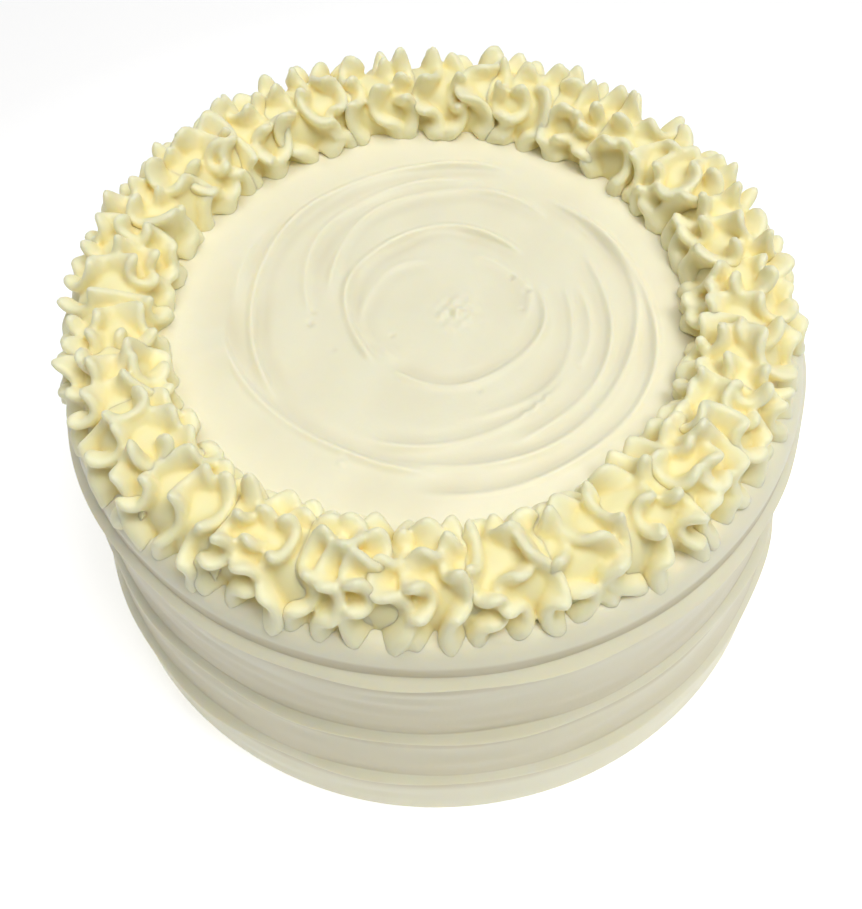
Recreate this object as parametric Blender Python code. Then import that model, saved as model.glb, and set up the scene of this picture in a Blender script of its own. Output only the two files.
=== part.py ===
"""Frosted cake: a round, uncut cake under buttercream, with a wreath of piped ruffles on its top edge.

Metres, +Z up. The base rests on z = 0, centred on the origin, and the side shown in front faces -Y.
Angles run from +X towards the back (+Y).
"""

import math
import random

import bpy

MM = 0.001
TURN = 2 * math.pi
GAP = 0.3 * MM  # air kept between pieces that touch

# The cake's body
CAKE_HEIGHT = 101.3 * MM
FOOT_RADIUS = 114.7 * MM
FOOT_ROUNDING = 1.5 * MM
RIM_ROUNDING = 7.0 * MM
RIM_STEPS = 3
AROUND = 64  # segments in each ring of the body

# Wall radius at heights above the base; the wall leans in towards the top
WALL = (
    (0.0, FOOT_RADIUS),
    (24.0 * MM, 113.2 * MM),
    (42.0 * MM, 110.4 * MM),
    (71.0 * MM, 108.3 * MM),
    (CAKE_HEIGHT, 108.3 * MM),
)

# Ridges left by the icing comb: height above the base, and how far each stands out
COMB_RIDGES = (
    (24.2 * MM, 1.9 * MM),
    (50.6 * MM, 2.2 * MM),
    (87.4 * MM, 2.8 * MM),
)
RIDGE_ABOVE = 3.0 * MM  # height of a ridge's upper slope, a narrow shelf
RIDGE_BELOW = 0.9 * MM  # height of its lower, steeper slope
RIDGE_POWER = 1.2  # 1 would make a ridge's slopes straight, 2 would make them oval
COMB_WAVER = 0.7 * MM

# Spatula ridges on the top, nearly round about a point beside the axis
SWIRL_CENTRE = (4.5 * MM, 2.5 * MM)
SWIRL_RADII = (24.0 * MM, 31.0 * MM, 40.5 * MM, 48.5 * MM, 54.5 * MM, 61.0 * MM)
SWIRL_RISE = 1.0 * MM
SWIRL_HALF_WIDTH = 2.2 * MM
SWIRL_SMOOTH_SIDE = math.radians(225)  # where the ridges fade out
SWIRL_FADE = math.radians(48)
SWIRL_FADE_SHARE = 0.9  # share of a ridge's rise that is lost there
SWIRL_EDGE = SWIRL_RADII[-1] + 2 * SWIRL_HALF_WIDTH  # the outermost ridge has run out here
FLAT_TOP_FROM = 71.0 * MM  # the wreath stands on the flat ring outside this radius
NUB_CENTRE = (7.0 * MM, 1.0 * MM)
NUB_RADIUS = 5.0 * MM
NUB_HEIGHT = 1.6 * MM

# The wreath: the gaps between its ruffles, as angles in degrees
RUFFLE_GAPS_DEG = (
    4, 20, 38, 49, 61, 76, 92, 107, 123, 135, 147, 161, 177,
    192, 204, 219, 234, 248, 261, 274, 287, 300, 311, 323, 335, 350,
)
WREATH_RADIUS = 90.5 * MM
WREATH_SHIFT = 1.5 * MM  # the wreath lies this far to the back, and as far to the left
RUFFLE_REACH = 16.6 * MM  # half the wreath's width
RUFFLE_HEIGHT = 19.0 * MM
DOME_POWER = 2.3  # 2 would make a ruffle's outline half an oval
VALLEY_SHARE = 0.74  # how far the valleys between frills reach, as a share of the frills' rims
FRILL_PITCH = 7.4 * MM
FRILL_SWING = 3.8 * MM  # how far a frill's rim winds to each side
FRILL_TURNS = 2.6  # how often it does so from the inner foot to the outer foot
RIM_HALF = 1.4 * MM  # half a frill's thickness
FRILL_ROOM = 0.8 * MM  # least width of the valley between two frills
TOE_OUT = 1.5 * MM  # how far the frills' outer feet spread beyond the mound
FOOT_SHARE = 0.97  # the outermost stations, as a share of the way to the foot
FOOT_HEIGHT = 1.4 * MM  # thickness of the frills' ends
STATIONS = 13  # cross-sections from the inner foot to the outer foot

# How much the ruffles and their frills differ: lowest and highest share, or to each side
RUFFLE_REACHES = (0.95, 1.05)
RUFFLE_HEIGHTS = (0.93, 1.05)
FRILL_PLACES = (-0.1, 0.1)
FRILL_REACHES = (0.94, 1.05)
FRILL_HEIGHTS = (0.94, 1.06)
FRILL_SWINGS = (0.8, 1.15)
TURN_SHARES = (0.85, 1.15)
TILTS = (-3.5 * MM, 3.5 * MM)  # a slow drift of the rim to the side
TILT_TURNS = 1.4
SWELLS = (0.03, 0.09)  # slow rises of the rim, as shares of its height
SWELL_TURNS = 2.3
LIFTS = (0.1, 0.2)  # rises between the turning points of the windings
LIFT_PHASES = (-0.5, 0.5)
LIFT_DROP = 0.5
WINDING_PULLS = (0.3, 1.0)  # how unevenly the windings follow each other
WINDING_PULL_RATE = 3.4
FOOT_CALM = 3  # power by which these differences fade out at the feet
TOE_POWER = 6
SEED = 410

BUTTERCREAM = (0.86, 0.80, 0.62, 1.0)
PIPED_BUTTERCREAM = (0.90, 0.84, 0.62, 1.0)


def clear_scene():
    for thing in list(bpy.data.objects):
        bpy.data.objects.remove(thing, do_unlink=True)


def icing(name, colour, roughness):
    """A plain buttercream material."""
    material = bpy.data.materials.new(name)
    material.use_nodes = True
    shader = material.node_tree.nodes["Principled BSDF"]
    shader.inputs["Base Color"].default_value = colour
    shader.inputs["Roughness"].default_value = roughness
    shader.inputs["Metallic"].default_value = 0.0
    material.diffuse_color = colour
    return material


def add_solid(name, points, faces, material):
    """Make one named object from points and faces."""
    mesh = bpy.data.meshes.new(name)
    mesh.from_pydata(points, [], faces)
    mesh.materials.append(material)
    mesh.shade_smooth()
    solid = bpy.data.objects.new(name, mesh)
    bpy.context.scene.collection.objects.link(solid)
    return solid


def loft(rings):
    """Points and faces of a closed solid from rings listed upwards, with a centre point at each end.

    A ring is (list of points, all with the same count); the first and last entries are single points.
    """
    bottom, middle, top = rings[0], rings[1:-1], rings[-1]
    count = len(middle[0])
    points = [bottom]
    for ring in middle:
        points.extend(ring)
    points.append(top)
    faces = []
    last = len(points) - 1
    for i in range(count):
        j = (i + 1) % count
        faces.append((0, 1 + j, 1 + i))
        upper = 1 + (len(middle) - 1) * count
        faces.append((last, upper + i, upper + j))
        for level in range(len(middle) - 1):
            a = 1 + level * count
            b = a + count
            faces.append((a + i, a + j, b + j))
            faces.append((a + i, b + j, b + i))
    return points, faces


def interpolate(stations, at):
    """Value at a place along a list of (place, value)."""
    for (p0, v0), (p1, v1) in zip(stations, stations[1:]):
        if at <= p1:
            share = (at - p0) / (p1 - p0)
            return v0 + (v1 - v0) * share
    return stations[-1][1]


def arch(station):
    """Shares of a ruffle's reach and height at a station, from -1 at its inner foot to 1 at its outer foot."""
    lean = math.pi / 2 * station
    out = math.copysign(abs(math.sin(lean)) ** (2 / DOME_POWER), lean)
    return out, math.cos(lean) ** (2 / DOME_POWER)


def bump(distance, half_width):
    """A smooth bump that is 1 at distance 0."""
    return math.exp(-((distance / half_width) ** 2))


def wall_radius(height):
    """Radius of the cake's side, comb ridges included."""
    radius = interpolate(WALL, height)
    for crest, rise in COMB_RIDGES:
        slope = RIDGE_ABOVE if height > crest else RIDGE_BELOW
        off = min(abs(height - crest) / slope, 1.0)
        radius += rise * (1 - off ** RIDGE_POWER) ** (1 / RIDGE_POWER)
    return radius


def comb_waver(angle, height):
    """How far the comb's marks rise or dip at an angle, fading out at the foot and the rim."""
    free = math.sin(math.pi * height / CAKE_HEIGHT)
    return COMB_WAVER * free * (math.sin(2 * angle + 0.6) + 0.6 * math.sin(5 * angle + 2.0))


def side_heights():
    """Heights of the rings on the side: at the ridges' crests, slopes and toes, and halfway between them."""
    heights = []
    below = FOOT_ROUNDING
    for crest, _ in COMB_RIDGES:
        lower_toe = crest - RIDGE_BELOW
        upper_toe = crest + RIDGE_ABOVE
        heights += [(below + lower_toe) / 2, lower_toe, crest, (crest + upper_toe) / 2, upper_toe]
        below = upper_toe
    return heights


def swirl_height(radius, angle):
    """Height of the spatula ridges above the flat top, about the swirl's centre."""
    off = (angle - SWIRL_SMOOTH_SIDE + math.pi) % TURN - math.pi
    strength = 1 - SWIRL_FADE_SHARE * bump(off, SWIRL_FADE)
    return SWIRL_RISE * strength * max(bump(radius - r, SWIRL_HALF_WIDTH) for r in SWIRL_RADII)


def ring_centre(radius):
    """Centre of a ring on the top: the nub's, then the swirl's, then the cake's axis."""
    if radius < SWIRL_RADII[0]:
        share = radius / SWIRL_RADII[0]
        return tuple(n + (s - n) * share for n, s in zip(NUB_CENTRE, SWIRL_CENTRE))
    if radius <= SWIRL_EDGE:
        return SWIRL_CENTRE
    return (0.0, 0.0)


def swirl_radii():
    """Radii of the rings inside the wreath, inwards: each ridge's crest and the valley inside it."""
    radii = [SWIRL_EDGE]
    for inner, outer in zip(reversed(SWIRL_RADII[:-1]), reversed(SWIRL_RADII[1:])):
        radii += [outer, (inner + outer) / 2]
    radii += [SWIRL_RADII[0], SWIRL_RADII[0] - 2 * SWIRL_HALF_WIDTH]
    return radii + [2 * NUB_RADIUS, NUB_RADIUS * 0.6]


def cake_ring(radius, height, waver=False):
    """One ring of the body."""
    ring = []
    for i in range(AROUND):
        angle = TURN * i / AROUND
        lift = comb_waver(angle, height) if waver else 0.0
        ring.append((radius * math.cos(angle), radius * math.sin(angle), height + lift))
    return ring


def top_ring(radius):
    """One ring of the swirled top."""
    cx, cy = ring_centre(radius)
    nub = NUB_HEIGHT * bump(radius, NUB_RADIUS)
    ring = []
    for i in range(AROUND):
        angle = TURN * i / AROUND
        height = CAKE_HEIGHT + nub + swirl_height(radius, angle)
        ring.append((cx + radius * math.cos(angle), cy + radius * math.sin(angle), height))
    return ring


def make_cake(material):
    """The cake under its icing, one solid: combed side, rounded rim and swirled top."""
    rings = [(0.0, 0.0, 0.0)]
    rings.append(cake_ring(FOOT_RADIUS - FOOT_ROUNDING, 0.0))
    rings.append(cake_ring(FOOT_RADIUS, FOOT_ROUNDING))
    for height in side_heights():
        rings.append(cake_ring(wall_radius(height), height, waver=True))
    rim_centre = wall_radius(CAKE_HEIGHT) - RIM_ROUNDING
    for step in range(RIM_STEPS + 1):
        lean = math.pi / 2 * step / RIM_STEPS
        radius = rim_centre + RIM_ROUNDING * math.cos(lean)
        height = CAKE_HEIGHT - RIM_ROUNDING * (1 - math.sin(lean))
        rings.append(cake_ring(radius, height))
    rings.append(cake_ring(FLAT_TOP_FROM, CAKE_HEIGHT))
    for radius in swirl_radii():
        rings.append(top_ring(radius))
    rings.append((*NUB_CENTRE, CAKE_HEIGHT + NUB_HEIGHT))
    return add_solid("frosted_cake", *loft(rings), material)


class Ruffle:
    """One piped ruffle: frilled fins that run side by side over a mound, from its inner to its outer foot.

    In its own axes x points away from the cake's axis and y runs along the wreath.
    """

    def __init__(self, number):
        start = RUFFLE_GAPS_DEG[number]
        end = RUFFLE_GAPS_DEG[(number + 1) % len(RUFFLE_GAPS_DEG)]
        width = math.radians((end - start) % 360)
        rng = random.Random(SEED + number)
        self.angle = math.radians(start) + width / 2
        self.half_angle = width / 2
        self.radius = WREATH_RADIUS + WREATH_SHIFT * (math.sin(self.angle) - math.cos(self.angle))
        self.reach = RUFFLE_REACH * rng.uniform(*RUFFLE_REACHES)
        self.height = RUFFLE_HEIGHT * rng.uniform(*RUFFLE_HEIGHTS)
        count = round(width * self.radius / FRILL_PITCH)
        self.frills = [self.frill(rng, i, count) for i in range(count)]

    def frill(self, rng, i, count):
        """Place, size and windings of one frill."""
        return {
            "bearing": self.half_angle * ((2 * i + 1) / count - 1 + rng.uniform(*FRILL_PLACES)),
            "reach": rng.uniform(*FRILL_REACHES),
            "height": rng.uniform(*FRILL_HEIGHTS),
            "swing": FRILL_SWING * rng.uniform(*FRILL_SWINGS),
            "turns": FRILL_TURNS * rng.uniform(*TURN_SHARES),
            "phase": rng.uniform(0, TURN),
            "tilt": rng.uniform(*TILTS),
            "tilt_phase": rng.uniform(0, TURN),
            "swell": rng.uniform(*SWELLS),
            "swell_phase": rng.uniform(0, TURN),
            "lift": rng.uniform(*LIFTS),
            "lift_phase": rng.uniform(*LIFT_PHASES),
            "pull": rng.uniform(*WINDING_PULLS),
        }

    def place(self, x, y, z):
        """A point of the ruffle on the cake."""
        out = self.radius + x
        c, s = math.cos(self.angle), math.sin(self.angle)
        return (out * c - y * s, out * s + y * c, CAKE_HEIGHT + GAP + z)

    def room(self, x):
        """Half the width that the ruffle may take up at a distance from its middle."""
        return (self.radius + x) * math.tan(self.half_angle) - GAP

    def rim(self, frill, station):
        """Distance out, height and sideways place of a frill's rim at a station from -1 to 1."""
        fold = TURN * frill["turns"] * station / 2 + frill["phase"]
        fold += frill["pull"] * math.sin(WINDING_PULL_RATE * station + frill["swell_phase"])
        rise = frill["swell"] * math.sin(SWELL_TURNS * TURN * station / 2 + frill["swell_phase"])
        rise += frill["lift"] * (math.cos(2 * fold + frill["lift_phase"]) - LIFT_DROP)
        tall = 1 + rise * (1 - abs(station) ** FOOT_CALM)
        out, up = arch(station)
        x = self.reach * frill["reach"] * out * tall
        x += TOE_OUT * max(station, 0.0) ** TOE_POWER
        z = self.height * frill["height"] * up * tall
        y = (self.radius + x) * frill["bearing"] + frill["swing"] * math.sin(fold)
        y += frill["tilt"] * math.cos(TILT_TURNS * TURN * station / 2 + frill["tilt_phase"])
        return x, max(z, FOOT_HEIGHT), y

    def section(self, station):
        """One cross-section: the border, both corners of a rim, a valley, the next rim, and so on."""
        rims = [self.rim(frill, station) for frill in self.frills]
        sides = [rim[2] for rim in rims]
        step = 2 * RIM_HALF + FRILL_ROOM
        narrowest = min(self.room(rim[0]) for rim in rims)
        last = len(sides) - 1
        for i in range(last + 1):
            lowest = -narrowest + RIM_HALF + FRILL_ROOM / 2 + i * step
            if i > 0:
                lowest = max(lowest, sides[i - 1] + step)
            highest = narrowest - RIM_HALF - FRILL_ROOM / 2 - (last - i) * step
            sides[i] = min(max(sides[i], lowest), highest)
        out, up = arch(station)
        x = VALLEY_SHARE * self.reach * out
        z = max(VALLEY_SHARE * self.height * up, FOOT_HEIGHT)
        points = [(x, -self.room(x), z)]
        for i, side in enumerate(sides):
            if i > 0:
                points.append((x, (sides[i - 1] + side) / 2, z))
            points.append((rims[i][0], side - RIM_HALF, rims[i][1]))
            points.append((rims[i][0], side + RIM_HALF, rims[i][1]))
        points.append((x, self.room(x), z))
        return points

    def make(self, name, material):
        stations = [FOOT_SHARE * (2 * k / (STATIONS - 1) - 1) for k in range(STATIONS)]
        sections = [self.section(station) for station in stations]
        across = len(sections[0])
        points = [self.place(*point) for section in sections for point in section]
        faces = []
        for k in range(STATIONS - 1):
            for i in range(across - 1):
                a = k * across + i
                b = a + across
                faces.append((a, b, b + 1))
                faces.append((a, b + 1, a + 1))

        def foot_below(k, i):
            x, y, _ = sections[k][i]
            points.append(self.place(x, y, 0.0))
            return len(points) - 1

        end = STATIONS - 1
        first = [foot_below(0, i) for i in range(across)]
        right = [foot_below(k, across - 1) for k in range(1, end)]
        final = [foot_below(end, i) for i in reversed(range(across))]
        left = [foot_below(k, 0) for k in reversed(range(1, end))]
        outline = first + right + final + left
        above = list(range(across))
        above += [k * across + across - 1 for k in range(1, end)]
        above += [end * across + i for i in reversed(range(across))]
        above += [k * across for k in reversed(range(1, end))]
        for n, low in enumerate(outline):
            m = (n + 1) % len(outline)
            faces.append((low, above[n], above[m]))
            faces.append((low, above[m], outline[m]))
        faces.append(tuple(outline))
        return add_solid(name, points, faces, material)


def main():
    clear_scene()
    make_cake(icing("smooth_buttercream", BUTTERCREAM, 0.5))
    for number in range(len(RUFFLE_GAPS_DEG)):
        name = f"piped_ruffle_{number + 1:02d}"
        Ruffle(number).make(name, icing(f"piped_buttercream_{number + 1:02d}", PIPED_BUTTERCREAM, 0.5))


main()
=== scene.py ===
"""Looks of the frosted cake: buttercream body with comb and spatula marks, and a wreath of piped ruffles.

Metres, +Z up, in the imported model's frame. Angles run from +X towards the back (+Y).
"""

import math
import random

import bpy
import numpy as np
from mathutils import Matrix, Vector


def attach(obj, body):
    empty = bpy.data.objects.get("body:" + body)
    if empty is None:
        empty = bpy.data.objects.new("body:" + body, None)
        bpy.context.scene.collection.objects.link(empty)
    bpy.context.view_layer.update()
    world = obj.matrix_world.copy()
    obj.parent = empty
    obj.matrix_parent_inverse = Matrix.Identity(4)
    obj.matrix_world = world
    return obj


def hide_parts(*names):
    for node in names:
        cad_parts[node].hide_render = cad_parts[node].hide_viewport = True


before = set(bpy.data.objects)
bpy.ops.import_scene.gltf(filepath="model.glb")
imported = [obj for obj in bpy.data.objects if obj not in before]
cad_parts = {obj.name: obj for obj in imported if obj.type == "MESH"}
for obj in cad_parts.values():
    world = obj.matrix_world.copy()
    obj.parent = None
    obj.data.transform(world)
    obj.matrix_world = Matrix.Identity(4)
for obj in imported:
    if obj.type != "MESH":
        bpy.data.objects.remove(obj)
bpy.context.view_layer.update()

MM = 0.001
TURN = 2 * math.pi

# Camera, fitted to the circles of the foot, the rim and the comb ridges
CAMERA_AT = (0.0, -220.1 * MM, 361.6 * MM)
CAMERA_PITCH = math.radians(56.60)  # below the horizon
CAMERA_YAW = math.radians(-0.57)  # measured to the right of +Y
CAMERA_ROLL = math.radians(-2.45)
CAMERA_NEAR = 0.01
FOCAL_PIXELS = 1150
PHOTO_LONG_SIDE = 909
SENSOR = 36.0

# The pale floor glows a little, most of all near the cake
FLOOR_HALF = 4.0
FLOOR_COLOUR = (0.93, 0.93, 0.93)
FLOOR_ROUGHNESS = 0.9
GLOW_NEAR = 0.12  # the glow begins to fade at this distance from the cake's middle
GLOW_FAR = 0.3  # and stays the same from this one on
FLOOR_GLOW_NEAR = 0.47
FLOOR_GLOW_FAR = 0.26
SURROUND_STRENGTH = 0.08

# Soft round lights: name, place, width, power
LIGHTS = (
    ("main", (0.5, -0.35, 1.45), 0.7, 9.0),
    ("overhead", (0.0, 0.1, 1.7), 1.6, 15.5),
)
LIGHTS_AIM = (0, 0, 0.1)

# Buttercream: its colour, the darker, yellower colour painted as shade in its recesses, and how far light
# spreads in it
SMOOTH_ICING = ((0.92, 0.89, 0.705), (0.72, 0.66, 0.47), 0.8 * MM)
PIPED_ICING = ((1.0, 0.915, 0.65), (1.0, 0.85, 0.43), 2.2 * MM)
ICING_ROUGHNESS = 0.42
ICING_SHEEN = 0.35
SCATTER_COLOUR = (1.0, 0.9, 0.65)
BLOTCH_SCALE = 60
BLOTCH_DETAIL = 3
BLOTCH_TINT = (0.96, 0.95, 0.91)
GRAIN_SCALE = 900
GRAIN_DETAIL = 4
GRAIN_STRENGTH = 0.12
GRAIN_DEPTH = 0.3 * MM

# Sockets of a colour mix node, which share their names with its other kinds
MIX_SHARE = 0
MIX_FIRST = 6
MIX_SECOND = 7
MIX_RESULT = 2

# The cake's body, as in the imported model
CAKE_HEIGHT = 101.3 * MM
FOOT_RADIUS = 114.7 * MM
FOOT_ROUNDING = 1.5 * MM
RIM_ROUNDING = 7.0 * MM
WALL = (
    (0.0, FOOT_RADIUS),
    (24.0 * MM, 113.2 * MM),
    (42.0 * MM, 110.4 * MM),
    (71.0 * MM, 108.3 * MM),
    (CAKE_HEIGHT, 108.3 * MM),
)
COMB_RIDGES = (
    (24.2 * MM, 1.9 * MM),
    (50.6 * MM, 2.2 * MM),
    (87.4 * MM, 2.8 * MM),
)
RIDGE_ABOVE = 3.0 * MM  # height of a ridge's upper slope, a narrow shelf
RIDGE_BELOW = 0.9 * MM  # and of its lower, steeper one
RIDGE_POWER = 1.2  # 1 would make a ridge's slopes straight, 2 would make them oval

# Unevenness of the side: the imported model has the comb's waver too, and leaves out the rest
COMB_WAVER = 0.7 * MM
COMB_WAVES = ((2, 0.6, 1.0), (5, 2.0, 0.6))  # waves round the cake, phase, share
RIDGE_UNEVENNESS = 0.22  # share by which a ridge's rise varies round the cake
RIDGE_WAVELENGTH = 60 * MM
SIDE_RELIEF = 0.22 * MM
SIDE_WAVELENGTH = 9 * MM
SIDE_CALM = 0.5  # the smears fade towards the foot and the rim, the sooner the larger this is

# Painted shade in the recess above each ridge (start, half width, strength) and in the
# thin crease below it
PAINTED_RECESS_SHADES = (
    (27.2 * MM, 14.0 * MM, 0.6),
    (53.6 * MM, 20.0 * MM, 0.7),
    (90.4 * MM, 9.0 * MM, 1.0),
)
RECESS_TOP = 30.0 * MM
# strength of the painted shade in the crease
PAINTED_CREASE_SHADE = 0.7
CREASE_REACH = 2.8  # how far down the painted crease shade goes, as a multiple of the ridge's rise
CREASE_FADE = 1.6 * MM

# The top, flat near the rim and marked by the spatula inside
SWIRL_CENTRE = (4.5 * MM, 2.5 * MM)
SWIRL_OUTSIDE = 66.0 * MM
FLAT_TOP_FROM = 74.0 * MM
TOP_RELIEF = 0.16 * MM
TOP_WAVELENGTH = 26 * MM

# Spatula ridges on the top, each an arc: centre, radius, first and last angle, rise
SPATULA_ARCS = (
    ((4.4 * MM, 5.7 * MM), 30.0 * MM, 41, 222, 1.25 * MM),
    ((4.4 * MM, 3.2 * MM), 28.6 * MM, 236, 372, 0.95 * MM),
    ((7.6 * MM, 14.2 * MM), 38.2 * MM, 44, 179, 0.85 * MM),
    ((3.2 * MM, 14.8 * MM), 41.5 * MM, 68, 191, 0.9 * MM),
    ((4.5 * MM, 5.3 * MM), 58.5 * MM, 71, 212, 1.25 * MM),
    ((-7.8 * MM, 14.7 * MM), 50.9 * MM, 120, 183, 0.75 * MM),
    ((6.2 * MM, 15.7 * MM), 70.5 * MM, 140, 262, 1.05 * MM),
    ((2.8 * MM, -0.2 * MM), 49.5 * MM, -62, 24, 0.95 * MM),
    ((6.0 * MM, -2.0 * MM), 35.5 * MM, -78, 18, 0.6 * MM),
    ((6.0 * MM, -1.0 * MM), 40.0 * MM, -25, 12, 0.55 * MM),
    ((-1.6 * MM, -2.0 * MM), 43.8 * MM, 250, 328, 0.75 * MM),
    ((4.3 * MM, 2.7 * MM), 56.0 * MM, 258, 410, 1.0 * MM),
    ((6.9 * MM, -3.6 * MM), 57.9 * MM, 263, 400, 1.1 * MM),
    ((0.0 * MM, 2.0 * MM), 20.5 * MM, 95, 235, 0.45 * MM),
    ((9.0 * MM, 4.0 * MM), 20.0 * MM, -15, 75, 0.5 * MM),
)
ARC_CREST = 1.35 * MM  # half width of a ridge's crest
ARC_CREST_INSIDE = 0.75  # half width of the crest's inner side, as a share of its outer side's
ARC_GROOVE = 2.3 * MM  # half width of the groove inside it
ARC_GROOVE_IN = 3.3 * MM  # from the crest to the groove's middle
ARC_GROOVE_SHARE = 0.5  # the groove's depth, as a share of the rise
ARC_FADE = math.radians(16)
ARC_UNEVENNESS = 0.25
ARC_UNEVENNESS_WAVES = 7
ARC_WAVER = 0.55 * MM
ARC_WAVER_WAVES = 5
GROOVE_DEEP = 0.8 * MM
GROOVE_SHADE = 0.35  # strength of the painted shade in a groove of that depth

# The rough spot where the spatula was lifted
NUB_CENTRE = (7.0 * MM, 1.0 * MM)
NUB_RADIUS = 5.5 * MM
NUB_HEIGHT = 1.6 * MM
NUB_MEAN = 0.45
NUB_UNEVENNESS = 0.4
NUB_WAVELENGTH = 5 * MM

# Small nicks and pits: place, half width, depth, which is below zero for a raised crumb
NICKS = (
    ((-36.0 * MM, -1.0 * MM), 1.1 * MM, 0.8 * MM),
    ((-35.2 * MM, 3.5 * MM), 0.9 * MM, 0.6 * MM),
    ((28.6 * MM, 9.0 * MM), 1.0 * MM, 0.9 * MM),
    ((24.0 * MM, 14.5 * MM), 1.0 * MM, 0.6 * MM),
    ((26.5 * MM, 2.0 * MM), 0.8 * MM, 0.5 * MM),
    ((28.0 * MM, -33.0 * MM), 1.3 * MM, -0.7 * MM),
    ((31.0 * MM, -30.5 * MM), 1.0 * MM, -0.6 * MM),
    ((24.5 * MM, -36.0 * MM), 1.1 * MM, -0.5 * MM),
    ((-26.0 * MM, -50.5 * MM), 1.0 * MM, -0.7 * MM),
    ((-24.5 * MM, -48.0 * MM), 0.9 * MM, 0.7 * MM),
    ((-12.0 * MM, -6.5 * MM), 0.8 * MM, 0.5 * MM),
    ((12.5 * MM, -27.5 * MM), 0.7 * MM, 0.5 * MM),
    ((41.0 * MM, -20.5 * MM), 0.7 * MM, 0.4 * MM),
    ((-29.0 * MM, -11.0 * MM), 0.7 * MM, 0.4 * MM),
)

# The body's mesh: its rings and the points on each
BODY_AROUND = 400
SIDE_STEP = 1.8 * MM
RIDGE_STEP = 0.3 * MM
FINE_BELOW = 2.4 * MM  # the rings are close together from here below a ridge's crest
FINE_ABOVE = 4.0 * MM  # to here above it
RIM_RINGS = 8
SHOULDER_RINGS = 7
SWIRL_STEP = 0.6 * MM

# Waves that are summed for uneven surfaces
WAVES = 14
WAVE_LENGTHS = (0.6, 1.6)  # shares of the wavelength
SMEAR_LENGTHS = (0.6, 1.8)
SMEAR_TURNS = (2, 16)  # waves round the cake

# The wreath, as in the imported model
RUFFLE_GAPS_DEG = (
    4, 20, 38, 49, 61, 76, 92, 107, 123, 135, 147, 161, 177,
    192, 204, 219, 234, 248, 261, 274, 287, 300, 311, 323, 335, 350,
)
WREATH_RADIUS = 90.5 * MM
WREATH_SHIFT = 1.5 * MM  # of the wreath's middle, to the back and as far to the left
RUFFLE_REACH = 16.6 * MM
RUFFLE_HEIGHT = 19.0 * MM
DOME_POWER = 2.3  # 2 would make the ruffles' outline half an oval
SEED = 410

# The mound under the frills, as shares of the ruffle's own size
CORE_REACH = 0.68
CORE_HEIGHT = 0.70
CORE_PRESS = 6.0 * MM  # how far it runs on past each end
CORE_FALL = 0.25  # how much lower it is there
CORE_AROUND = 22
CORE_ALONG = 10
CORE_FOOT = 0.01  # its border is where the height falls below this share

# The frills, sheets that run from foot to foot over the mound
FRILL_PITCH = 7.4 * MM
FRILL_SWING = 3.8 * MM
FRILL_TURNS = 2.6
FRILL_LOOP = 0.10
LOOP_POWER = 1.2
LOOP_CALM = 4
SHEET_LONG = 130
SHEET_DEEP = 16
FRILL_ROOT = 0.45  # a sheet begins inside the mound, at this share of its full size
FRILL_RISE = 0.55  # and the rim lies this much further out
RIM_HALF = 1.15 * MM
ROOT_EXTRA = 1.3  # how much thicker a sheet is at its root, as a share of the rim
FOOT_EXTRA = 2.4 * MM  # how much thicker it is at its feet
FOOT_FROM = 0.7
FOOT_SPAN = 0.3
ROOT_ROOM = 0.5  # depth of a sheet that thins towards its rim, as a share of the reach
ROOT_SLOPE = 3
END_ROOM = 80 * MM  # longer than half a sheet, so that it thins only close to its feet
SWING_LOW = (0.85, 0.8)  # share and power of the swing that begins at the root
SWING_RIM = (0.3, 3)  # and of the swing at the rim
END_DROP = 0.1
END_POWER = 8  # how late the sheets drop towards their feet
TOE_OUT = 1.5 * MM  # how far the frills' outer feet spread beyond the mound
TOE_DROOP = 3.2 * MM  # and how far they hang over the cake's rounded rim
TOE_POWER = 6
SINK = 1.2 * MM  # the ruffles are pressed this far into the icing below
RIM_RISE = 1.8  # the rim takes up all of the frill's unevenness, and its lower part less
FOOT_CALM = 3
LIFT_DROP = 0.5
TILT_TURNS = 1.4
SWELL_TURNS = 2.3
WINDING_PULL_RATE = 3.4
TINY = 1e-9
TINY_LENGTH = 1e-12

# Ranges of the random draws for a ruffle and for its frills
RUFFLE_REACHES = (0.95, 1.05)
RUFFLE_HEIGHTS = (0.93, 1.05)
FRILL_PLACES = (-0.1, 0.1)
FRILL_REACHES = (0.94, 1.05)
FRILL_HEIGHTS = (0.94, 1.06)
FRILL_SWINGS = (0.8, 1.15)
TURN_SHARES = (0.85, 1.15)
TILTS = (-3.5 * MM, 3.5 * MM)
SWELLS = (0.03, 0.09)
LIFTS = (0.1, 0.2)
LIFT_PHASES = (-0.5, 0.5)
WINDING_PULLS = (0.3, 1.0)

# How a ruffle's mound and sheets are melted into one mesh and set beside its neighbours
VOXEL = 0.64 * MM
SOFTEN_FACTOR = 0.5
SOFTEN_STEPS = 3
VISUAL_PRESS = 6.0 * MM  # how far the ruffles may run into each other here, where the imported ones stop
PRESS_FREE = 0.8  # a ruffle keeps its shape over this share of its room

# Painted shade between the frills and far in from the ruffle's outline
HOLLOW_STEPS = 10
HOLLOW_DEPTH = 0.45 * MM
HOLLOW_SHARE = 0.5  # the rest comes from how far in a point lies
INWARD_FROM = 0.95
INWARD_SPAN = 0.25


def bump(distance, half_width):
    """A smooth bump that is 1 at distance 0."""
    return np.exp(-((distance / half_width) ** 2))


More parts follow.
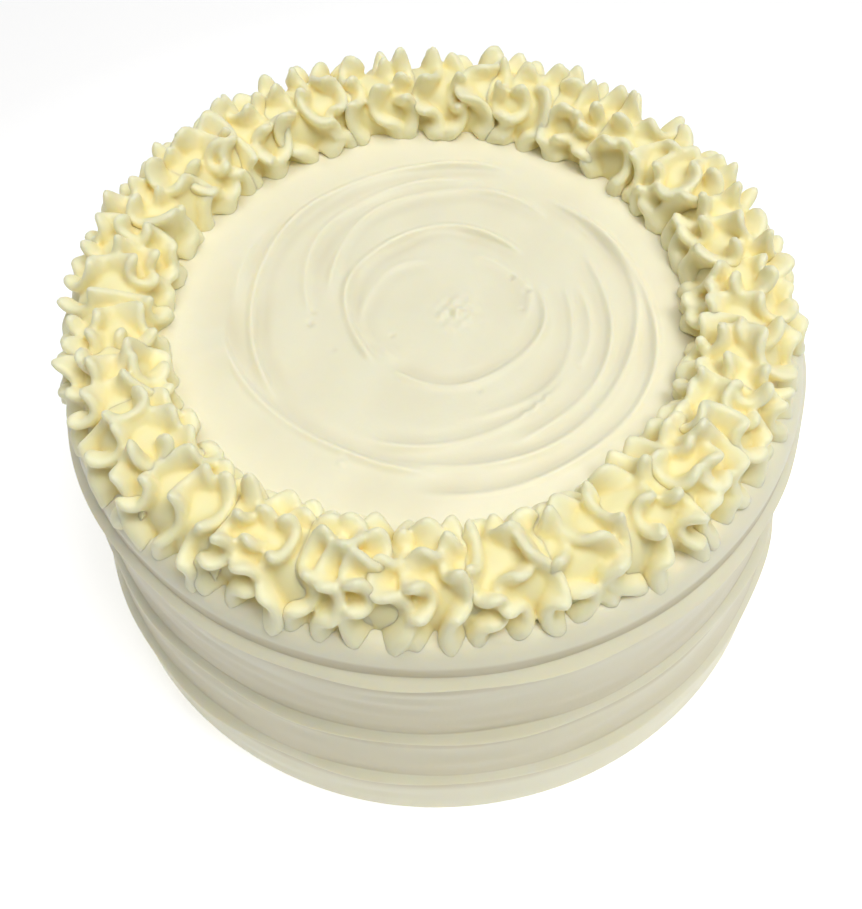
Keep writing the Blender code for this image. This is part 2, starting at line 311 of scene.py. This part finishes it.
def make_camera():
    """The photograph's camera."""
    data = bpy.data.cameras.new("camera")
    data.sensor_width = SENSOR
    data.lens = FOCAL_PIXELS / PHOTO_LONG_SIDE * SENSOR
    data.clip_start = CAMERA_NEAR
    camera = bpy.data.objects.new("camera", data)
    p, y, r = CAMERA_PITCH, CAMERA_YAW, CAMERA_ROLL
    forward = Vector((math.sin(y) * math.cos(p), math.cos(y) * math.cos(p), -math.sin(p)))
    right = Vector((math.cos(y), -math.sin(y), 0))
    up = right.cross(forward)
    rolled_right = right * math.cos(r) + up * math.sin(r)
    rolled_up = up * math.cos(r) - right * math.sin(r)
    turn = Matrix((rolled_right, rolled_up, -forward)).transposed().to_4x4()
    camera.matrix_world = Matrix.Translation(CAMERA_AT) @ turn
    bpy.context.scene.collection.objects.link(camera)
    bpy.context.scene.camera = camera


def area_light(name, at, size, power):
    """A soft round light that points at the cake."""
    data = bpy.data.lights.new(name, "AREA")
    data.shape = "DISK"
    data.size = size
    data.energy = power
    light = bpy.data.objects.new(name, data)
    light.location = at
    light.rotation_euler = (Vector(LIGHTS_AIM) - Vector(at)).to_track_quat("-Z", "Y").to_euler()
    bpy.context.scene.collection.objects.link(light)


def floor_material():
    """Pale paper that glows most near the cake."""
    material = bpy.data.materials.new("floor_paper")
    material.use_nodes = True
    nodes, links = material.node_tree.nodes, material.node_tree.links
    shader = nodes["Principled BSDF"]
    shader.inputs["Base Color"].default_value = (*FLOOR_COLOUR, 1)
    shader.inputs["Roughness"].default_value = FLOOR_ROUGHNESS
    shader.inputs["Emission Color"].default_value = (1, 1, 1, 1)
    place = nodes.new("ShaderNodeTexCoord")
    distance = nodes.new("ShaderNodeVectorMath")
    distance.operation = "LENGTH"
    links.new(place.outputs["Object"], distance.inputs[0])
    glow = nodes.new("ShaderNodeMapRange")
    glow.inputs["From Min"].default_value = GLOW_NEAR
    glow.inputs["From Max"].default_value = GLOW_FAR
    glow.inputs["To Min"].default_value = FLOOR_GLOW_NEAR
    glow.inputs["To Max"].default_value = FLOOR_GLOW_FAR
    links.new(distance.outputs["Value"], glow.inputs["Value"])
    links.new(glow.outputs["Result"], shader.inputs["Emission Strength"])
    return material


def make_stage():
    """A pale floor, soft lights and a faint white surround."""
    half = FLOOR_HALF
    corners = [(-half, -half, 0), (half, -half, 0), (half, half, 0), (-half, half, 0)]
    mesh = bpy.data.meshes.new("floor")
    mesh.from_pydata(corners, [], [(0, 1, 2, 3)])
    mesh.materials.append(floor_material())
    floor = bpy.data.objects.new("floor", mesh)
    bpy.context.scene.collection.objects.link(floor)
    world = bpy.data.worlds.new("studio")
    world.use_nodes = True
    background = world.node_tree.nodes["Background"]
    background.inputs["Color"].default_value = (1.0, 1.0, 1.0, 1)
    background.inputs["Strength"].default_value = SURROUND_STRENGTH
    bpy.context.scene.world = world
    for light in LIGHTS:
        area_light(*light)


def buttercream(name, base, deep, scatter):
    """Buttercream with painted shade, darker where the mesh's 'depth' attribute marks a recess."""
    material = bpy.data.materials.new(name)
    material.use_nodes = True
    nodes, links = material.node_tree.nodes, material.node_tree.links
    shader = nodes["Principled BSDF"]
    shader.inputs["Roughness"].default_value = ICING_ROUGHNESS
    shader.inputs["Specular IOR Level"].default_value = ICING_SHEEN
    shader.inputs["Subsurface Weight"].default_value = 1.0
    shader.inputs["Subsurface Radius"].default_value = SCATTER_COLOUR
    shader.inputs["Subsurface Scale"].default_value = scatter
    depth = nodes.new("ShaderNodeAttribute")
    depth.attribute_name = "depth"
    place = nodes.new("ShaderNodeTexCoord")
    blotch = nodes.new("ShaderNodeTexNoise")
    blotch.inputs["Scale"].default_value = BLOTCH_SCALE
    blotch.inputs["Detail"].default_value = BLOTCH_DETAIL
    links.new(place.outputs["Object"], blotch.inputs["Vector"])
    mix = nodes.new("ShaderNodeMix")
    mix.data_type = "RGBA"
    mix.inputs[MIX_FIRST].default_value = (*base, 1)
    # deep is the painted shade colour, mixed in as far as the 'depth' attribute says
    mix.inputs[MIX_SECOND].default_value = (*deep, 1)
    links.new(depth.outputs["Fac"], mix.inputs[MIX_SHARE])
    vary = nodes.new("ShaderNodeMix")
    vary.data_type = "RGBA"
    vary.blend_type = "MULTIPLY"
    vary.inputs[MIX_SECOND].default_value = (*BLOTCH_TINT, 1)
    links.new(mix.outputs[MIX_RESULT], vary.inputs[MIX_FIRST])
    links.new(blotch.outputs["Fac"], vary.inputs[MIX_SHARE])
    links.new(vary.outputs[MIX_RESULT], shader.inputs["Base Color"])
    grain = nodes.new("ShaderNodeTexNoise")
    grain.inputs["Scale"].default_value = GRAIN_SCALE
    grain.inputs["Detail"].default_value = GRAIN_DETAIL
    links.new(place.outputs["Object"], grain.inputs["Vector"])
    relief = nodes.new("ShaderNodeBump")
    relief.inputs["Strength"].default_value = GRAIN_STRENGTH
    relief.inputs["Distance"].default_value = GRAIN_DEPTH
    links.new(grain.outputs["Fac"], relief.inputs["Height"])
    links.new(relief.outputs["Normal"], shader.inputs["Normal"])
    return material


def set_painted_shade(mesh, depth):
    """Store the painted shade at each point in the 'depth' attribute."""
    attribute = mesh.attributes.new("depth", "FLOAT", "POINT")
    attribute.data.foreach_set("value", depth.astype(np.float32))


def new_piece(name, points, faces, material):
    """A mesh object from an array of points and a list of faces."""
    mesh = bpy.data.meshes.new(name)
    mesh.from_pydata(points.tolist(), [], faces)
    mesh.materials.append(material)
    mesh.shade_smooth()
    piece = bpy.data.objects.new(name, mesh)
    bpy.context.scene.collection.objects.link(piece)
    return piece


def ripples(rng, x, y, wavelength):
    """An uneven field, mostly between -1 and 1, made of waves that run in many directions."""
    total = 0
    for _ in range(WAVES):
        heading = rng.uniform(0, TURN)
        length = wavelength * rng.uniform(*WAVE_LENGTHS)
        phase = rng.uniform(0, TURN)
        across = x * math.cos(heading) + y * math.sin(heading)
        total = total + np.sin(TURN * across / length + phase)
    return total / math.sqrt(WAVES)


def ripples_round(rng, angle, heights, wavelength):
    """Uneven smears that run round the cake's side: one row for each height."""
    total = 0
    for _ in range(WAVES):
        turns = rng.randint(*SMEAR_TURNS)
        length = wavelength * rng.uniform(*SMEAR_LENGTHS)
        first, second = rng.uniform(0, TURN), rng.uniform(0, TURN)
        upward = np.sin(TURN * heights / length + second)
        total = total + np.outer(upward, np.sin(turns * angle + first))
    return total / math.sqrt(WAVES / 2)


def wall_radius(height, unevenness):
    """Radius of the cake's side, comb ridges included."""
    places, radii = zip(*WALL)
    radius = np.interp(height, places, radii)
    for crest, rise in COMB_RIDGES:
        slope = RIDGE_ABOVE if height > crest else RIDGE_BELOW
        off = min(abs(height - crest) / slope, 1.0)
        share = (1 - off ** RIDGE_POWER) ** (1 / RIDGE_POWER)
        radius = radius + rise * (1 + unevenness) * share
    return radius


def comb_waver(angle, height):
    """How far the comb ran up or down round the side, which it did least at the foot and the rim."""
    free = np.sin(math.pi * height / CAKE_HEIGHT)
    waves = sum(share * np.sin(turns * angle + phase) for turns, phase, share in COMB_WAVES)
    return COMB_WAVER * free * waves


def side_shade(height):
    """Painted shade on the side: in the recesses above the ridges, and below the crests."""
    shade = 0.0
    for start, half_width, strength in PAINTED_RECESS_SHADES:
        if start <= height < start + RECESS_TOP:
            shade = max(shade, strength * math.exp(-(((height - start) / half_width) ** 2)))
    for crest, rise in COMB_RIDGES:
        off = crest - CREASE_REACH * rise - height
        if height < crest:
            shade = max(shade, PAINTED_CREASE_SHADE * math.exp(-((max(off, 0.0) / CREASE_FADE) ** 2)))
    return shade


def side_heights():
    """Heights of the rings on the side, close together at the comb ridges."""
    rim_start = CAKE_HEIGHT - RIM_ROUNDING
    heights = [FOOT_ROUNDING]
    while heights[-1] < rim_start - SIDE_STEP:
        last = heights[-1]
        near = any(crest - FINE_BELOW < last < crest + FINE_ABOVE for crest, _ in COMB_RIDGES)
        heights.append(last + (RIDGE_STEP if near else SIDE_STEP))
    return heights + [rim_start]


def arc_relief(x, y, arc):
    """Height that one spatula ridge and the groove inside it add to the top."""
    (cx, cy), radius, first, last, rise = arc
    start, end = math.radians(first), math.radians(last)
    middle, half = (start + end) / 2, (end - start) / 2
    off = (np.arctan2(y - cy, x - cx) - middle + math.pi) % TURN - math.pi
    inside = np.clip((half - np.abs(off)) / ARC_FADE + 0.5, 0, 1)
    uneven = 1 + ARC_UNEVENNESS * np.sin(ARC_UNEVENNESS_WAVES * off + first)
    strength = rise * inside * inside * (3 - 2 * inside) * uneven
    distance = np.hypot(x - cx, y - cy) - radius + ARC_WAVER * np.sin(ARC_WAVER_WAVES * off + last)
    crest = bump(distance, np.where(distance > 0, ARC_CREST, ARC_CREST * ARC_CREST_INSIDE))
    groove = bump(distance + ARC_GROOVE_IN, ARC_GROOVE)
    return strength * (crest - ARC_GROOVE_SHARE * groove)


def spatula_relief(x, y, rng):
    """Height of the spatula's ridges, grooves and nicks above the flat top."""
    height = TOP_RELIEF * ripples(rng, x, y, TOP_WAVELENGTH)
    for arc in SPATULA_ARCS:
        height = height + arc_relief(x, y, arc)
    near_nub = bump(np.hypot(x - NUB_CENTRE[0], y - NUB_CENTRE[1]), NUB_RADIUS)
    rough = NUB_MEAN + NUB_UNEVENNESS * ripples(rng, x, y, NUB_WAVELENGTH)
    height = height + NUB_HEIGHT * near_nub * rough
    for (px, py), half_width, depth in NICKS:
        height = height - depth * bump(np.hypot(x - px, y - py), half_width)
    return height


class BodyRings:
    """The rings of the cake's body, from its foot up the side and in over the top."""

    def __init__(self):
        self.angle = np.arange(BODY_AROUND) * TURN / BODY_AROUND
        self.rings = []
        self.painted_shades = []

    def circle(self, radius, centre=(0.0, 0.0)):
        """Places round a circle, or round an uneven one where the radius varies."""
        return centre[0] + radius * np.cos(self.angle), centre[1] + radius * np.sin(self.angle)

    def add(self, place, height, depth=0.0):
        """Add one ring, with the painted shade it has."""
        self.rings.append(np.stack([*place, np.broadcast_to(height, self.angle.shape)], -1))
        self.painted_shades.append(np.broadcast_to(depth, self.angle.shape))

    def add_side(self, rng):
        """The foot and the side, with its comb ridges and smears."""
        heights = np.array(side_heights())
        smears = SIDE_RELIEF * ripples_round(rng, self.angle, heights, SIDE_WAVELENGTH)
        unevenness = RIDGE_UNEVENNESS * ripples_round(rng, self.angle, heights, RIDGE_WAVELENGTH)
        self.add(self.circle(FOOT_RADIUS - FOOT_ROUNDING), 0.0)
        for level, height in enumerate(heights):
            free = math.sin(math.pi * height / CAKE_HEIGHT) ** SIDE_CALM
            radius = wall_radius(height, unevenness[level]) + free * smears[level]
            raised = height + comb_waver(self.angle, height)
            self.add(self.circle(radius), raised, side_shade(height))

    def add_rim(self):
        """The rounded top edge. Returns the radius at which the flat top begins."""
        rim_start = CAKE_HEIGHT - RIM_ROUNDING
        rim_centre = wall_radius(CAKE_HEIGHT, 0.0) - RIM_ROUNDING
        for lean in np.linspace(0, math.pi / 2, RIM_RINGS + 1)[1:]:
            radius = rim_centre + RIM_ROUNDING * math.cos(lean)
            self.add(self.circle(radius), rim_start + RIM_ROUNDING * math.sin(lean))
        return rim_centre

    def add_top(self, rim_centre, relief_seed):
        """The top, whose rings move over to the swirl's own centre."""
        flat = np.linspace(rim_centre, FLAT_TOP_FROM, SHOULDER_RINGS + 1)[1:]
        swirl = np.arange(SWIRL_OUTSIDE, SWIRL_STEP / 2, -SWIRL_STEP)
        for radius in [*flat, *swirl]:
            toward = np.clip((FLAT_TOP_FROM - radius) / (FLAT_TOP_FROM - SWIRL_OUTSIDE), 0, 1)
            centre = (SWIRL_CENTRE[0] * toward, SWIRL_CENTRE[1] * toward)
            place = self.circle(radius, centre)
            relief = spatula_relief(*place, random.Random(relief_seed)) if toward > 0 else 0.0
            # painted shade in the spatula's grooves
            shade = GROOVE_SHADE * np.clip(-relief / GROOVE_DEEP, 0, 1) if toward > 0 else 0.0
            self.add(place, CAKE_HEIGHT + relief, shade)

    def faces(self):
        """Faces between the rings, and fans round the middle of the base and of the top."""
        faces = []
        for level in range(len(self.rings) - 1):
            low = level * BODY_AROUND
            high = low + BODY_AROUND
            for i in range(BODY_AROUND):
                j = (i + 1) % BODY_AROUND
                faces.append((low + i, low + j, high + j, high + i))
        last = (len(self.rings) - 1) * BODY_AROUND
        base_middle = len(self.rings) * BODY_AROUND
        top_middle = base_middle + 1
        for i in range(BODY_AROUND):
            j = (i + 1) % BODY_AROUND
            faces.append((base_middle, j, i))
            faces.append((top_middle, last + i, last + j))
        return faces


def make_body(material):
    """The cake under its icing, as one closed mesh."""
    rng = random.Random(SEED)
    body = BodyRings()
    body.add_side(rng)
    rim_centre = body.add_rim()
    relief_seed = rng.random()
    body.add_top(rim_centre, relief_seed)
    tip = spatula_relief(*(np.array([v]) for v in SWIRL_CENTRE), random.Random(relief_seed))[0]
    middles = [[0, 0, 0], [*SWIRL_CENTRE, CAKE_HEIGHT + tip]]
    points = np.concatenate([*body.rings, middles])
    piece = new_piece("cake_icing", points, body.faces(), material)
    set_painted_shade(piece.data, np.concatenate([*body.painted_shades, [0.0, 0.0]]))
    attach(piece, "root")
    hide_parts("frosted_cake")


def hollows(points, normals, edges):
    """How far each point lies below the surface smoothed round it, as a share of HOLLOW_DEPTH."""
    count = len(points)
    ends = np.concatenate([edges, edges[:, ::-1]])
    own, other = ends[:, 0], ends[:, 1]
    degree = np.bincount(own, minlength=count)
    smooth = points
    for _ in range(HOLLOW_STEPS):
        sums = [np.bincount(own, weights=smooth[other, axis], minlength=count) for axis in range(3)]
        smooth = np.stack([total / degree for total in sums], -1)
    return np.clip(np.sum((smooth - points) * normals, -1) / HOLLOW_DEPTH, 0, 1)


class Ruffle:
    """One piped ruffle: a mound with frilled sheets on it, side by side, from inner to outer foot.

    Its own axes: x away from the cake's axis, y along the wreath, z up.
    """

    def __init__(self, number):
        start = RUFFLE_GAPS_DEG[number]
        end = RUFFLE_GAPS_DEG[(number + 1) % len(RUFFLE_GAPS_DEG)]
        width = (end - start) % 360
        rng = random.Random(SEED + number)
        self.angle = math.radians(start + width / 2)
        self.half_angle = math.radians(width / 2)
        self.radius = WREATH_RADIUS + WREATH_SHIFT * (math.sin(self.angle) - math.cos(self.angle))
        self.reach = RUFFLE_REACH * rng.uniform(*RUFFLE_REACHES)
        self.height = RUFFLE_HEIGHT * rng.uniform(*RUFFLE_HEIGHTS)
        count = round(math.radians(width) * self.radius / FRILL_PITCH)
        self.frills = [self.frill(rng, i, count) for i in range(count)]

    def frill(self, rng, i, count):
        """Place, size and windings of one frill."""
        return {
            "bearing": self.half_angle * ((2 * i + 1) / count - 1 + rng.uniform(*FRILL_PLACES)),
            "reach": rng.uniform(*FRILL_REACHES),
            "height": rng.uniform(*FRILL_HEIGHTS),
            "swing": FRILL_SWING * rng.uniform(*FRILL_SWINGS),
            "turns": FRILL_TURNS * rng.uniform(*TURN_SHARES),
            "phase": rng.uniform(0, TURN),
            "tilt": rng.uniform(*TILTS),
            "tilt_phase": rng.uniform(0, TURN),
            "swell": rng.uniform(*SWELLS),
            "swell_phase": rng.uniform(0, TURN),
            "lift": rng.uniform(*LIFTS),
            "lift_phase": rng.uniform(*LIFT_PHASES),
            "pull": rng.uniform(*WINDING_PULLS),
        }

    @staticmethod
    def arch(lean):
        """Share of the reach and of the height, for a lean of 0 at the top to a quarter turn at the foot."""
        out = np.sign(np.sin(lean)) * np.abs(np.sin(lean)) ** (2 / DOME_POWER)
        return out, np.clip(np.cos(lean), 0, 1) ** (2 / DOME_POWER)

    @staticmethod
    def rounded(half, rim):
        """Half thickness of a sheet that ends in a round rim."""
        return half * np.sqrt(np.clip(1 - (1 - np.clip(rim / half, 0, 1)) ** 2, 0, 1))

    @staticmethod
    def sides(middle, half):
        """The two faces of a sheet, from its middle surface and half thickness."""
        normal = np.cross(np.gradient(middle, axis=1), np.gradient(middle, axis=0))
        normal /= np.linalg.norm(normal, axis=-1, keepdims=True) + TINY_LENGTH
        return [middle + normal * half[..., None], middle - normal * half[..., None]]

    @staticmethod
    def thickness(S, V, reach):
        """Half thickness of a sheet, which thins to a round rim and is thicker at its root and feet."""
        free = ROOT_ROOM * reach
        up = (1 - V) * free + TINY
        along = (1 - np.abs(S)) * END_ROOM + TINY
        rim = 1 / np.sqrt(up ** -2 + along ** -2)
        rim = np.minimum(rim, ROOT_SLOPE * V * free)
        foot = np.clip((np.abs(S) - FOOT_FROM) / FOOT_SPAN, 0, 1) ** 2
        half = RIM_HALF * (1 + ROOT_EXTRA * (1 - V)) + FOOT_EXTRA * foot
        return Ruffle.rounded(half, rim)

    def sheet(self, frill):
        """A frilled sheet: S runs from the inner foot over the top to the outer one, V from root to rim."""
        reach = self.reach * frill["reach"]
        S, V = np.meshgrid(np.linspace(-1, 1, SHEET_LONG), np.linspace(0, 1, SHEET_DEEP), indexing="ij")
        fold = TURN * frill["turns"] * S / 2 + frill["phase"]
        fold = fold + frill["pull"] * np.sin(WINDING_PULL_RATE * S + frill["swell_phase"])
        loop = FRILL_LOOP * np.sin(2 * fold) * V ** LOOP_POWER * (1 - S ** LOOP_CALM)
        lean = math.pi / 2 * (S - loop)
        out, up = self.arch(np.clip(lean, -math.pi / 2, math.pi / 2))
        rise = frill["swell"] * np.sin(SWELL_TURNS * TURN * S / 2 + frill["swell_phase"])
        rise = rise + frill["lift"] * (np.cos(2 * fold + frill["lift_phase"]) - LIFT_DROP)
        tall = 1 + RIM_RISE * rise * (1 - np.abs(S) ** FOOT_CALM)
        tall = tall * (1 - END_DROP * np.abs(S) ** END_POWER)
        deep = FRILL_ROOT + FRILL_RISE * V * tall
        toe = V * np.clip(S, 0, 1) ** TOE_POWER
        x = reach * out * deep + TOE_OUT * toe
        z = self.height * frill["height"] * up * deep - TOE_DROOP * toe - SINK * S ** END_POWER
        low, rim = SWING_LOW, SWING_RIM
        side = frill["swing"] * np.sin(fold) * (low[0] * V ** low[1] + rim[0] * V ** rim[1])
        side = side + frill["tilt"] * V * np.cos(TILT_TURNS * TURN * S / 2 + frill["tilt_phase"])
        y = (self.radius + x) * frill["bearing"] + side
        return self.sides(np.stack([x, y, z], -1), self.thickness(S, V, reach))

    def core(self):
        """The mound under the frills, as an upper and a lower face with shared borders."""
        leans = np.linspace(-math.pi / 2, math.pi / 2, CORE_AROUND)
        lean, share = np.meshgrid(leans, np.linspace(-1, 1, CORE_ALONG), indexing="ij")
        out, up = self.arch(lean)
        x = CORE_REACH * self.reach * out
        y = share * ((self.radius + x) * math.tan(self.half_angle) + CORE_PRESS)
        z = CORE_HEIGHT * self.height * up * (1 - CORE_FALL * share ** 4)
        top = np.stack([x, y, z - SINK * (up < CORE_FOOT)], -1)
        return [top, np.stack([x, y, np.full_like(x, -SINK)], -1)]

    @staticmethod
    def closed_faces(shape, base):
        """Faces of a closed sheet whose two sides share their border points."""
        along, across = shape
        index = base + np.arange(along * across).reshape(along, across)
        other = index + along * across
        for border in ((0, slice(None)), (-1, slice(None)), (slice(None), 0), (slice(None), -1)):
            other[border] = index[border]
        faces = []
        for i in range(along - 1):
            for j in range(across - 1):
                faces.append([index[i, j], index[i, j + 1], index[i + 1, j + 1], index[i + 1, j]])
                faces.append([other[i, j], other[i + 1, j], other[i + 1, j + 1], other[i, j + 1]])
        return faces

    def parts(self):
        """Points and faces of the mound and of all the sheets on it."""
        points, faces, base = [], [], 0
        for sides in [self.core()] + [self.sheet(frill) for frill in self.frills]:
            shape = sides[0].shape[:2]
            faces += self.closed_faces(shape, base)
            points.append(np.concatenate([side.reshape(-1, 3) for side in sides]))
            base += 2 * shape[0] * shape[1]
        return np.concatenate(points), faces

    def melted(self, name, material):
        """The mound and its sheets as one mesh, in the ruffle's own axes."""
        points, faces = self.parts()
        rough = new_piece(name + "_rough", points, faces, material)
        melt = rough.modifiers.new("melt", "REMESH")
        melt.mode = "VOXEL"
        melt.voxel_size = VOXEL
        soften = rough.modifiers.new("soften", "SMOOTH")
        soften.factor = SOFTEN_FACTOR
        soften.iterations = SOFTEN_STEPS
        settled = rough.evaluated_get(bpy.context.evaluated_depsgraph_get())
        mesh = bpy.data.meshes.new_from_object(settled)
        bpy.data.objects.remove(rough)
        mesh.name = name
        return mesh

    def shade(self, mesh, local):
        """Painted shade at each point: in hollows, and far in from the ruffle's outline."""
        normals = np.empty(len(mesh.vertices) * 3)
        mesh.vertex_normals.foreach_get("vector", normals)
        edges = np.empty(len(mesh.edges) * 2, dtype=np.int32)
        mesh.edges.foreach_get("vertices", edges)
        hollow = hollows(local, normals.reshape(-1, 3), edges.reshape(-1, 2))
        place_out = (np.abs(local[:, 0]) / self.reach) ** DOME_POWER
        place_up = (np.clip(local[:, 2], 0, None) / self.height) ** DOME_POWER
        outline = (place_out + place_up) ** (1 / DOME_POWER)
        inward = np.clip((INWARD_FROM - outline) / INWARD_SPAN, 0, 1)
        return np.clip(HOLLOW_SHARE * hollow + (1 - HOLLOW_SHARE) * inward, 0, 1)

    def make(self, name, node, material):
        """Put the ruffle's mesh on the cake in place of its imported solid."""
        mesh = self.melted(name, material)
        local = np.empty(len(mesh.vertices) * 3)
        mesh.vertices.foreach_get("co", local)
        local = local.reshape(-1, 3)
        # painted shade, stored in the 'depth' attribute
        depth = self.shade(mesh, local)
        mesh.vertices.foreach_set("co", self.place(local).ravel())
        set_painted_shade(mesh, depth)
        mesh.shade_smooth()
        piece = bpy.data.objects.new(name, mesh)
        bpy.context.scene.collection.objects.link(piece)
        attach(piece, "root")
        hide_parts(node)

    def place(self, local):
        """Points of the ruffle on the cake, drawn in where they would cross far into the next ruffle."""
        x, y, z = local.T
        out = self.radius + x
        room = out * math.tan(self.half_angle) + VISUAL_PRESS
        free = PRESS_FREE * room
        over = np.clip((np.abs(y) - free) / (room - free), 0, None)
        along = np.sign(y) * (np.minimum(np.abs(y), free) + (room - free) * np.tanh(over))
        c, s = math.cos(self.angle), math.sin(self.angle)
        return np.stack([out * c - along * s, out * s + along * c, CAKE_HEIGHT + z], -1)


bpy.context.scene.view_settings.view_transform = "Standard"
make_camera()
make_stage()
make_body(buttercream("smooth_icing", *SMOOTH_ICING))
piped = buttercream("piped_icing", *PIPED_ICING)
for number in range(len(RUFFLE_GAPS_DEG)):
    Ruffle(number).make(f"ruffle_icing_{number + 1:02d}", f"piped_ruffle_{number + 1:02d}", piped)
